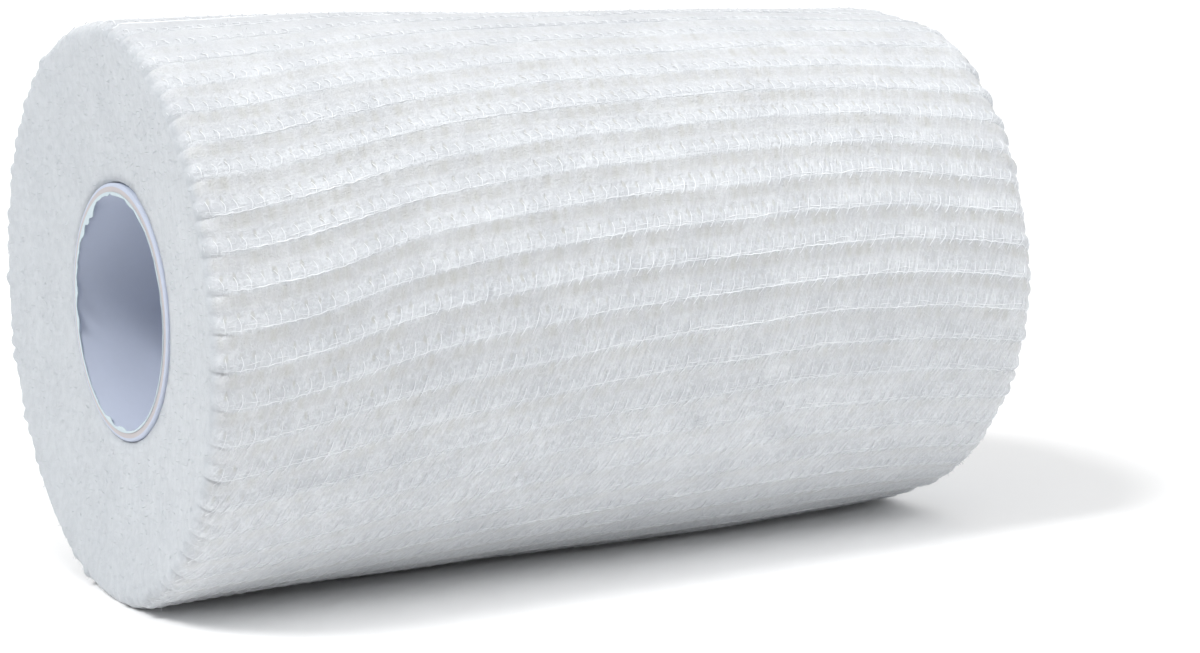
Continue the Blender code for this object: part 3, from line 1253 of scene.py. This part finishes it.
def warp_tree(lay: Tree) -> Tree:
    """Tree for the warps' short stretches, one for each warp in each rib.

    A stretch runs around the roll between two places in its rib. It rises as an arch, leans and
    curls sideways. Low on the front of the roll, where the cloth is pulled askew, it is longer,
    flatter and thinner, and leans more.

    Args:
        lay: The group that lays work on the cloth.

    Returns:
        The tree.
    """
    inputs = {
        **THREAD_INPUTS,
        "Row Step": 1.0 / RIB_COUNT,
        "Start": 0.5,
        "End": 0.9,
        "Arch": 0.1 * MM,
        **dict.fromkeys(("Dive", "Lean", "Skew", "Curl", "Chance"), 0.0),
    }
    graph = Graph.group("warp_stretches", "GeometryNodeTree", inputs, {"Threads": "Geometry"})
    given = graph.inputs
    span_u = (WARP_COUNT - 1) / WARP_COUNT
    span_v = graph.times(graph.minus(given["Rows"], 1.0), given["Row Step"])
    grid = graph.out("GeometryNodeMeshGrid", {0: span_u, 1: span_v, 2: WARP_COUNT, 3: given["Rows"]})
    flat = flat_copies(graph, (0.0, 0.0, 0.0), (0.0, 0.0, 1.0), grid)

    x, y, along = graph.split(graph.out("GeometryNodeInputPosition"))
    u = graph.plus(x, 0.5)
    v = graph.times_plus(span_v, 0.5, y)
    seat = graph.joined(graph.times(u, WARP_COUNT * 7.31), graph.times(v, RIB_COUNT * 3.17))
    own = graph.noise(seat, 1.0, 0.0)
    other = graph.noise(graph.vector("ADD", seat, (50.0, 20.0, 9.0)), 1.0, 0.0)
    third = graph.noise(graph.vector("ADD", seat, (11.0, 70.0, 30.0)), 1.0, 0.0)

    arch = graph.maths("SINE", graph.times(along, math.pi))
    pulled = graph.ranged(graph.reach(u, v), PULL_START, PULL_FULL)
    end = graph.times_plus(pulled, 0.18, given["End"])
    share = graph.out("ShaderNodeMix", {0: along, 2: given["Start"], 3: end}, data_type="FLOAT")
    jitter = graph.times(third, given["Chance"], 0.25)
    around = graph.plus(v, graph.maths("DIVIDE", graph.plus(share, jitter), RIB_COUNT))

    askew = graph.times(pulled, given["Skew"])
    slant = graph.plus(given["Lean"], askew, graph.times(own, given["Chance"]))
    leaned = graph.times(graph.minus(0.6, along), slant)
    curl = graph.times(arch, graph.times_plus(other, given["Chance"], given["Curl"]))
    across = graph.plus(u, graph.maths("DIVIDE", graph.plus(leaned, curl), WARP_COUNT))

    pressed = graph.times_plus(pulled, -0.5, 1.0)
    tall = graph.times(graph.times_plus(third, 0.08 * MM, given["Arch"]), pressed)
    dive = graph.times(graph.maths("POWER", along, 3.0), given["Dive"])
    rim = graph.ranged(graph.maths("ABSOLUTE", graph.minus(u, 0.5)), 0.486, 0.499, 0.0, 0.25 * MM)
    height = graph.minus(graph.plus(given["Height"], graph.times(arch, tall)), graph.plus(dive, rim))

    middle = graph.times_plus(arch, 0.5, 0.5)
    size = graph.times(graph.ranged(own, -0.3, 0.3, 0.75, 1.15), graph.times_plus(pulled, -0.3, 1.0))
    slim = graph.times(size, slimmer_on_top(graph, v))
    finish_threads(graph, flat, graph.joined(across, around, height), lay, graph.times(middle, slim))
    return graph.tree


class ThreadFamily:
    """What every family of threads shares."""

    def values(self) -> dict[str, Any]:
        """Values for the tree's inputs, which have the attributes' names in title case."""
        return {label.replace("_", " ").title(): value for label, value in vars(self).items()}


@dataclass(frozen=True)
class Weft(ThreadFamily):
    """One family of threads across the cloth.

    Attributes:
        name: Name of the piece.
        place: Place in each rib, as a share of the pitch.
        radius: Radius of the thread.
        height: Height of its middle over the ground.
        points: Points along it.
        weave: How far it goes over and under the warps.
        sway: How far it wanders, as a share of the pitch.
        scallop: How far it bulges between the warps, as a share of the pitch.
        rows: How many ribs have it.
        sides: Sides of its section.
    """

    name: str
    place: float
    radius: float
    height: float
    points: int
    weave: float
    sway: float
    scallop: float = 0.0
    rows: int = RIB_COUNT
    sides: int = 3


@dataclass(frozen=True)
class WarpStretch(ThreadFamily):
    """One family of short stretches around the roll.

    Attributes:
        name: Name of the piece.
        start: Where it starts in the rib, as a share of the pitch.
        end: Where it ends.
        radius: Radius at its middle.
        height: Height of its ends over the ground.
        points: Points along it.
        arch: How far its middle stands above its ends.
        dive: How far its end dives under the ground.
        lean: Sideways lean from end to end, as a share of the warps' pitch.
        skew: Lean that is added low on the front of the roll.
        curl: Sideways bulge of its middle.
        chance: How much all this varies.
        rows: How many rows of it there are.
        row_step: Distance between rows, in turns of the roll.
        sides: Sides of its section.
    """

    name: str
    start: float
    end: float
    radius: float
    height: float
    points: int
    arch: float
    dive: float
    lean: float
    skew: float
    curl: float
    chance: float
    rows: int = RIB_COUNT
    row_step: float = 1.0 / RIB_COUNT
    sides: int = 3


@dataclass
class Gauze:
    """The threads of the outer turn.

    Attributes:
        ground: The skin that the threads lie on.
        wefts: The families of wefts.
        warps: The families of warp stretches.
    """

    ground: Item
    wefts: tuple[Weft, ...] = (
        Weft("cord_lower", 0.925, 0.095 * MM, -0.02 * MM, 300, 0.02 * MM, 0.16, scallop=0.03),
        Weft("cord_upper", 0.86, 0.07 * MM, -0.02 * MM, 160, 0.03 * MM, 0.34),
        Weft("lap_cord", 50.95, 0.13 * MM, 0.05 * MM, 300, 0.05 * MM, 0.05, scallop=0.02, rows=1, sides=6),
    )
    warps: tuple[WarpStretch, ...] = (
        WarpStretch(
            "warp_loops", 0.60, 0.95, 0.19 * MM, 0.04 * MM, 7,
            arch=0.10 * MM, dive=0.02 * MM, lean=-0.12, skew=0.85, curl=0.14, chance=0.5,
        ),
        WarpStretch(
            "warp_bars", -0.02, 0.34, 0.08 * MM, -0.03 * MM, 4,
            arch=0.01 * MM, dive=0.05 * MM, lean=-0.08, skew=0.6, curl=0.0, chance=0.3,
        ),
        WarpStretch(
            "lap_fringe", 0.0, 0.26, 0.09 * MM, 0.30 * MM, 6,
            arch=0.10 * MM, dive=0.30 * MM, lean=0.10, skew=0.0, curl=0.1, chance=1.4,
            rows=2, row_step=0.0006,
        ),
    )

    def build(self, material: Material) -> list[Item]:
        """Make every family of threads.

        Args:
            material: Finish of the threads.

        Returns:
            The pieces.
        """
        lay = lay_on_cloth_group()
        weft = weft_tree(lay)
        warp = warp_tree(lay)
        common = {"Ground": self.ground, "Finish": material}
        pieces = [grown(item.name, weft, {**common, **item.values()}) for item in self.wefts]
        pieces += [grown(item.name, warp, {**common, **item.values()}) for item in self.warps]
        return pieces


# ---------------------------------------------------------------------------------------------
# Fuzz
# ---------------------------------------------------------------------------------------------


def fuzz_tree() -> Tree:
    """Tree for short loose fibres that stand on a skin.

    Returns:
        The tree, whose density follows the skin's felt share.
    """
    inputs = {
        "Ground": "Object",
        "Finish": "Material",
        "Felt Density": 1.0,
        "Side Density": 1.0,
        "Length": 0.6 * MM,
        "Radius": 0.02 * MM,
        "Tilt": 1.2,
        "Seed": 1,
    }
    graph = Graph.group("fuzz", "GeometryNodeTree", inputs, {"Fibres": "Geometry"})
    given = graph.inputs
    ground = graph.add("GeometryNodeObjectInfo", {"Object": given["Ground"]}).outputs["Geometry"]
    feeds = {0: graph.attribute(FELT), 2: given["Side Density"], 3: given["Felt Density"]}
    full = graph.out("ShaderNodeMix", feeds, data_type="FLOAT")
    density = graph.times(full, graph.minus(1.0, graph.attribute(BARE)))
    feeds = {"Mesh": ground, "Density": density, "Seed": given["Seed"]}
    roots = graph.add("GeometryNodeDistributePointsOnFaces", feeds)

    length = given["Length"]
    bend = graph.joined(graph.times(length, 0.28), 0.0, graph.times(length, 0.55))
    tip = graph.joined(graph.times(length, -0.1), 0.0, length)
    feeds = {"Resolution": 1, "Start": (0.0, 0.0, 0.0), "Middle": bend, "End": tip}
    arc = graph.out("GeometryNodeCurveQuadraticBezier", feeds)
    ring = graph.out("GeometryNodeCurvePrimitiveCircle", {"Resolution": 3, "Radius": given["Radius"]})
    fibre = graph.out("GeometryNodeCurveToMesh", {"Curve": arc, "Profile Curve": ring, "Fill Caps": True})

    low = graph.joined(graph.times(given["Tilt"], -1.0), -0.6, 0.0)
    high = graph.joined(given["Tilt"], 0.6, math.tau)
    tilt = graph.out("FunctionNodeRandomValue", {0: low, 1: high, "Seed": 5}, data_type="FLOAT_VECTOR")
    turn = graph.out("FunctionNodeEulerToRotation", {0: tilt})
    feeds = {"Rotation": roots.outputs["Rotation"], "Rotate By": turn}
    facing = graph.out("FunctionNodeRotateRotation", feeds, rotation_space="LOCAL")
    size = graph.add("FunctionNodeRandomValue", {2: 0.4, 3: 1.3, "Seed": 9}, data_type="FLOAT").outputs[1]
    feeds = {"Points": roots.outputs["Points"], "Instance": fibre, "Rotation": facing, "Scale": size}
    copies = graph.out("GeometryNodeInstanceOnPoints", feeds)
    real = graph.out("GeometryNodeRealizeInstances", {"Geometry": copies})
    x, y, z = graph.split(graph.out("GeometryNodeInputPosition"))
    clear = graph.joined(x, y, graph.maths("MAXIMUM", z, 0.0))
    finish(graph, "Fibres", graph.out("GeometryNodeSetPosition", {"Geometry": real, "Position": clear}))
    return graph.tree


@dataclass
class Fuzz:
    """Loose fibres on the side and the felted ends.

    Attributes:
        ground: The skin that they stand on.
        end_density: Fibres in a square metre of the end faces.
        side_density: Fibres in a square metre of the side.
        end_length: Length on the ends.
        side_length: Length on the side.
        radius: Radius of a fibre.
    """

    ground: Item
    end_density: float = 1.8e6
    side_density: float = 0.24e6
    end_length: float = 0.28 * MM
    side_length: float = 0.36 * MM
    radius: float = 0.018 * MM

    def build(self, end_material: Material, side_material: Material) -> list[Item]:
        """Make the fibres.

        Args:
            end_material: Finish of the fibres on the ends.
            side_material: Finish of the fibres on the side.

        Returns:
            The pieces.
        """
        tree = fuzz_tree()
        common = {"Ground": self.ground, "Radius": self.radius}
        ends = {
            "Finish": end_material,
            "Felt Density": self.end_density,
            "Side Density": 0.0,
            "Length": self.end_length,
            "Seed": 3,
            "Tilt": 1.3,
        }
        side = {
            "Finish": side_material,
            "Felt Density": 0.0,
            "Side Density": self.side_density,
            "Length": self.side_length,
            "Seed": 4,
            "Tilt": 1.2,
        }
        fibres = {"end_fuzz": ends, "side_fuzz": side}
        return [grown(name, tree, {**common, **values}) for name, values in fibres.items()]


# ---------------------------------------------------------------------------------------------
# Core
# ---------------------------------------------------------------------------------------------


@dataclass
class CoreTube:
    """The tube, with softened cut ends and the ragged burr that the saw left.

    Attributes:
        centre: Place of its axis in Y and Z.
        outer_radius: Outer radius.
        wall: Thickness of the wall.
        half_length: Half its length.
        softening: Rounding of the inner cut edges.
        shoulder: Rounding of the outer cut edges.
        steps: Steps around.
        burr_steps: Steps around the burr.
        burr_width: Mean width of the burr.
        burr_thickness: Thickness of the burr.
        cut_share: Share of the wall, from the bore out, that shows the dull cut.
        torn_angle: Where the saw left the widest burr, in degrees.
        torn_spread: How far around it reaches.
        shred_spread: Reach of a torn shred, as a share of a turn.
    """

    centre: tuple[float, float]
    outer_radius: float
    half_length: float
    wall: float = 1.05 * MM
    softening: float = 0.10 * MM
    shoulder: float = 0.24 * MM
    steps: int = 192
    burr_steps: int = 720
    burr_width: float = 0.06 * MM
    burr_thickness: float = 0.09 * MM
    cut_share: float = 0.62
    torn_angle: float = 45.0
    torn_spread: float = 38.0
    shred_spread: float = 0.006

    def ring(self, along: np.ndarray, radius: np.ndarray, angles: np.ndarray) -> np.ndarray:
        """Points around the core's axis."""
        y = self.centre[0] + radius * np.cos(angles)
        z = self.centre[1] + radius * np.sin(angles)
        return np.stack([along + 0.0 * y, y, z], axis=-1)

    def shell(
        self, name: str, along: np.ndarray, radius: np.ndarray, material: Material
    ) -> Item:
        """Make a closed ring from a closed profile that may vary around.

        Args:
            name: Name of the piece.
            along: Profile places along X, rows by columns.
            radius: Profile radii, rows by columns.
            material: Finish of the piece.

        Returns:
            The piece.
        """
        columns = np.broadcast(along, radius).shape[1]
        angles = np.linspace(0.0, math.tau, columns, endpoint=False)[None, :]
        mesh = closed_mesh(name, self.ring(along, radius, angles), material)
        mesh.set_sharp_from_angle(angle=math.radians(35.0))
        return added(name, mesh)

    def build_tube(self, material: Material) -> Item:
        """Make the tube.

        Args:
            material: Finish of the tube.

        Returns:
            The piece.
        """
        half, outer, inner = self.half_length, self.outer_radius, self.outer_radius - self.wall
        corners = []
        for side, edge, size, first in (
            (-1.0, inner, self.softening, 270.0),
            (-1.0, outer, self.shoulder, 180.0),
            (1.0, outer, self.shoulder, 90.0),
            (1.0, inner, self.softening, 0.0),
        ):
            centre_along = side * (half - size)
            centre_radius = edge + size if edge == inner else edge - size
            for step in range(4):
                turn = math.radians(first - 90.0 * step / 3)
                along = centre_along + size * math.cos(turn)
                corners.append((along, centre_radius + size * math.sin(turn)))
        band = inner + self.cut_share * self.wall
        near_band = [(-half, band), (-half, band + 0.04 * MM)]
        far_band = [(half, band + 0.04 * MM), (half, band)]
        profile = np.array(corners[:4] + near_band + corners[4:12] + far_band + corners[12:])
        columns = np.zeros((1, self.steps))
        piece = self.shell("core", profile[:, :1] + columns, profile[:, 1:] + columns, material)
        on_face = (np.abs(profile[:, :1]) > half - 0.02 * MM) * (profile[:, 1:] < band + 0.02 * MM)
        WoundCloth.store(piece.data, CUT, on_face + columns)
        return piece

    def build_burr(self, end: End, material: Material) -> Item:
        """Make the burr at one cut end.

        Args:
            end: Which end.
            material: Finish of the burr.

        Returns:
            The piece.
        """
        rng = np.random.default_rng(70 + end.value)
        share = np.linspace(0.0, 1.0, self.burr_steps, endpoint=False)
        ragged = Unevenness(81 + end.value, 90, 1).at(share, 0.0 * share)
        fine = Unevenness(91 + end.value, 260, 1).at(share, 0.0 * share)
        torn = np.exp(-0.5 * (signed_turn(360.0 * share, self.torn_angle) / self.torn_spread) ** 2)
        width = self.burr_width * (1.0 + 0.7 * ragged + 0.45 * fine) * (1.0 + 2.6 * torn)
        shreds = [rng.normal(0.08, 0.07, 7), rng.uniform(0.30, 0.38, 2), rng.uniform(0.4, 0.9, 3)]
        for place, size in zip(np.concatenate(shreds), rng.uniform(0.10, 0.42, 12) * MM):
            width += size * np.exp(-0.5 * (((share - place + 0.5) % 1.0 - 0.5) / self.shred_spread) ** 2)
        width = np.maximum(width, 0.03 * MM)
        inner = self.outer_radius - self.wall
        face = end.value * self.half_length
        lift = end.value * self.burr_thickness
        outer_edge = inner + 0.14 * MM + 0.0 * share
        along = face + lift * np.array([[0.0], [1.0], [0.6], [-0.4]]) + 0.0 * share
        radius = np.stack([outer_edge, outer_edge, inner - width, inner - width + 0.02 * MM])
        if end is End.NEAR:
            along, radius = along[::-1], radius[::-1]
        return self.shell(f"core_burr_{end.name.lower()}", along, radius, material)


# ---------------------------------------------------------------------------------------------
# Studio
# ---------------------------------------------------------------------------------------------


@dataclass(frozen=True)
class PhotoCamera:
    """The camera, placed around the roll's middle.

    Attributes:
        azimuth: Degrees around the roll, negative towards -X.
        elevation: Degrees above the horizon.
        distance: Distance from the roll's middle along the view.
        aside: How far the camera stands to its right.
        above: How far the camera stands up, across its view.
        lens: Focal length in mm on a 36 mm wide sensor.
    """

    azimuth: float = -31.73
    elevation: float = 8.787
    distance: float = 276.045 * MM
    aside: float = 8.535 * MM
    above: float = -5.103 * MM
    lens: float = 73.51

    def build(self, middle: Vector) -> None:
        """Make the scene's camera.

        Args:
            middle: The roll's middle.
        """
        turn, tip = math.radians(self.azimuth), math.radians(self.elevation)
        back = Vector((math.sin(turn) * math.cos(tip), -math.cos(turn) * math.cos(tip), math.sin(tip)))
        right = (-back).cross(Vector((0.0, 0.0, 1.0))).normalized()
        up = right.cross(-back)
        data = bpy.data.cameras.new("photo_camera")
        data.lens = self.lens
        data.sensor_width = 36.0
        data.clip_start = 0.01
        camera = added("photo_camera", data)
        camera.location = middle + back * self.distance + right * self.aside + up * self.above
        camera.rotation_euler = (-back).to_track_quat("-Z", "Y").to_euler()
        bpy.context.scene.camera = camera


@dataclass(frozen=True)
class SoftLight:
    """Even light from one part of the sky.

    Attributes:
        name: Name of the light.
        comes_from: Direction that it comes from.
        strength: Its strength.
        spread: How broad it is, in degrees.
    """

    name: str
    comes_from: Direction
    strength: float
    spread: float

    def build(self) -> None:
        """Make the light."""
        data = bpy.data.lights.new(self.name, "SUN")
        data.energy = self.strength
        data.angle = math.radians(self.spread)
        lamp = added(self.name, data)
        lamp.rotation_euler = (-Vector(self.comes_from)).to_track_quat("-Z", "Y").to_euler()


@dataclass(frozen=True)
class Studio:
    """White floor, white surroundings and soft light from above.

    Attributes:
        sky: Colour of the surrounding light.
        sky_strength: Its strength on the roll and the floor.
        floor_side: Side of the floor.
        lights: The lights above.
    """

    sky: Colour = (0.955, 0.98, 1.0)
    sky_strength: float = 0.01
    floor_side: float = 12.0
    lights: tuple[SoftLight, ...] = (
        SoftLight("overhead_dome", (0.0, 0.0, 1.0), 1.62, 95.0),
        SoftLight("key", (-0.62, -0.06, 0.78), 2.12, 19.0),
        SoftLight("upper_fill", (0.1, -0.62, 0.78), 0.75, 50.0),
        SoftLight("front_fill", (0.7, -0.6, 0.42), 0.85, 60.0),
        SoftLight("end_fill", (-0.90, -0.2, 0.38), 0.32, 60.0),
        SoftLight("far_fill", (0.93, 0.1, 0.30), 0.2, 60.0),
    )

    def build(self, material: Material) -> None:
        """Make the floor, the surroundings and the lights.

        Args:
            material: Finish of the floor.
        """
        half = 0.5 * self.floor_side
        corners = [(-half, -half, 0.0), (half, -half, 0.0), (half, half, 0.0), (-half, half, 0.0)]
        mesh = bpy.data.meshes.new("floor")
        mesh.from_pydata(corners, [], [(0, 1, 2, 3)])
        mesh.materials.append(material)
        floor = added("floor", mesh)
        for light in self.lights:
            light.build()
        bpy.context.scene.world = self.surroundings()
        bpy.context.scene.view_settings.view_transform = "Standard"

    def surroundings(self) -> bpy.types.World:
        """Make the world: pure white to the camera, and a softer white as a light.

        Returns:
            The world.
        """
        world = bpy.data.worlds.new("white_surroundings")
        world.use_nodes = True
        graph = Graph(world.node_tree)
        lighting = world.node_tree.nodes["Background"]
        graph.feed(lighting, "Color", (*self.sky, 1.0))
        graph.feed(lighting, "Strength", self.sky_strength)
        backdrop = graph.add("ShaderNodeBackground", {"Color": (1.0, 1.0, 1.0, 1.0), "Strength": 1.0})
        seen = graph.add("ShaderNodeLightPath").outputs["Is Camera Ray"]
        both = graph.add("ShaderNodeMixShader", {0: seen, 1: lighting.outputs[0], 2: backdrop.outputs[0]})
        graph.feed(world.node_tree.nodes["World Output"], "Surface", both.outputs[0])
        return world


# ---------------------------------------------------------------------------------------------
# Assembly
# ---------------------------------------------------------------------------------------------


def main() -> None:
    """Build the roll and its studio, hide the model's solids and hang the new pieces on the root body."""
    logging.basicConfig(level=logging.INFO, format="%(name)s: %(message)s")
    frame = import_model()
    LOG.info("frame holds %s", ", ".join(sorted(frame["nodes"])))

    cloth_low, cloth_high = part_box("wound_cloth")
    core_low, core_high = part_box("core_tube")
    core_centre = (0.5 * (core_low[1] + core_high[1]), 0.5 * (core_low[2] + core_high[2]))
    core_radius = 0.5 * (core_high[1] - core_low[1])
    form = RollForm(
        half_width=0.5 * (cloth_high[0] - cloth_low[0]),
        axis_height=AXIS_HEIGHT,
        core_centre=core_centre,
        hole_radius=core_radius + CORE_GAP,
    )
    middle = Vector((0.0, 0.0, form.axis_height))

    cotton = cotton_group()
    # Painted shade: the ground is coloured darker than the threads, for the deeper layers seen in shade
    # through the open weave.
    ground_finish = GauzeFinish(
        "gauze_ground", (0.71, 0.73, 0.755), (0.555, 0.575, 0.605), 0.20 * MM, 0.9,
        bump=0.12 * MM, glow=0.35, sheen=0.2,
    )
    thread_finish = Finish("cotton_thread", (0.84, 0.86, 0.88), (0.74, 0.76, 0.79), sheen=0.3)
    fibre_finish = Finish("loose_fibre", (0.73, 0.75, 0.775), (0.63, 0.65, 0.68), sheen=0.3)
    # Painted shade: the fibres on the cut ends get a darker copy of the loose fibres' colour.
    shaded_felt_finish = Finish("felt_fibre", (0.56, 0.59, 0.62), (0.48, 0.51, 0.54), sheen=0.2)
    core_finish = TubeFinish(
        "core_plastic", (0.50, 0.545, 0.655), (0.47, 0.515, 0.62), 0.8 * MM, 0.5, 0.6, 0.01 * MM
    )
    burr_finish = Finish("core_burr", (0.54, 0.63, 0.67), (0.50, 0.58, 0.62), roughness=0.7)
    floor_finish = Finish("pale_floor", (0.98, 0.98, 0.98), (0.97, 0.97, 0.97), 20.0 * MM, 0.5, 0.9, 0.0)

    ground = WoundCloth(form).build(ground_finish.build(cotton))
    LOG.info("%s: %d faces", ground.name, len(ground.data.polygons))
    threads = Gauze(ground).build(thread_finish.build(cotton))
    fibres = Fuzz(ground).build(shaded_felt_finish.build(cotton), fibre_finish.build(cotton))
    core = CoreTube(core_centre, core_radius, 0.5 * (core_high[0] - core_low[0]))
    tube = core.build_tube(core_finish.build(cotton))
    burr_material = burr_finish.build(cotton)
    burrs = [core.build_burr(end, burr_material) for end in End]

    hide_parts("wound_cloth")
    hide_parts("core_tube")
    for piece in [ground, *threads, *fibres]:
        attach(piece, "root")
    for piece in [tube, *burrs]:
        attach(piece, "root")
    for piece in [*threads, *fibres, tube, *burrs]:
        LOG.info("%s: %d faces", piece.name, len(piece.data.polygons))

    PhotoCamera().build(middle)
    Studio().build(floor_finish.build(cotton))


if __name__ == "__main__":
    main()
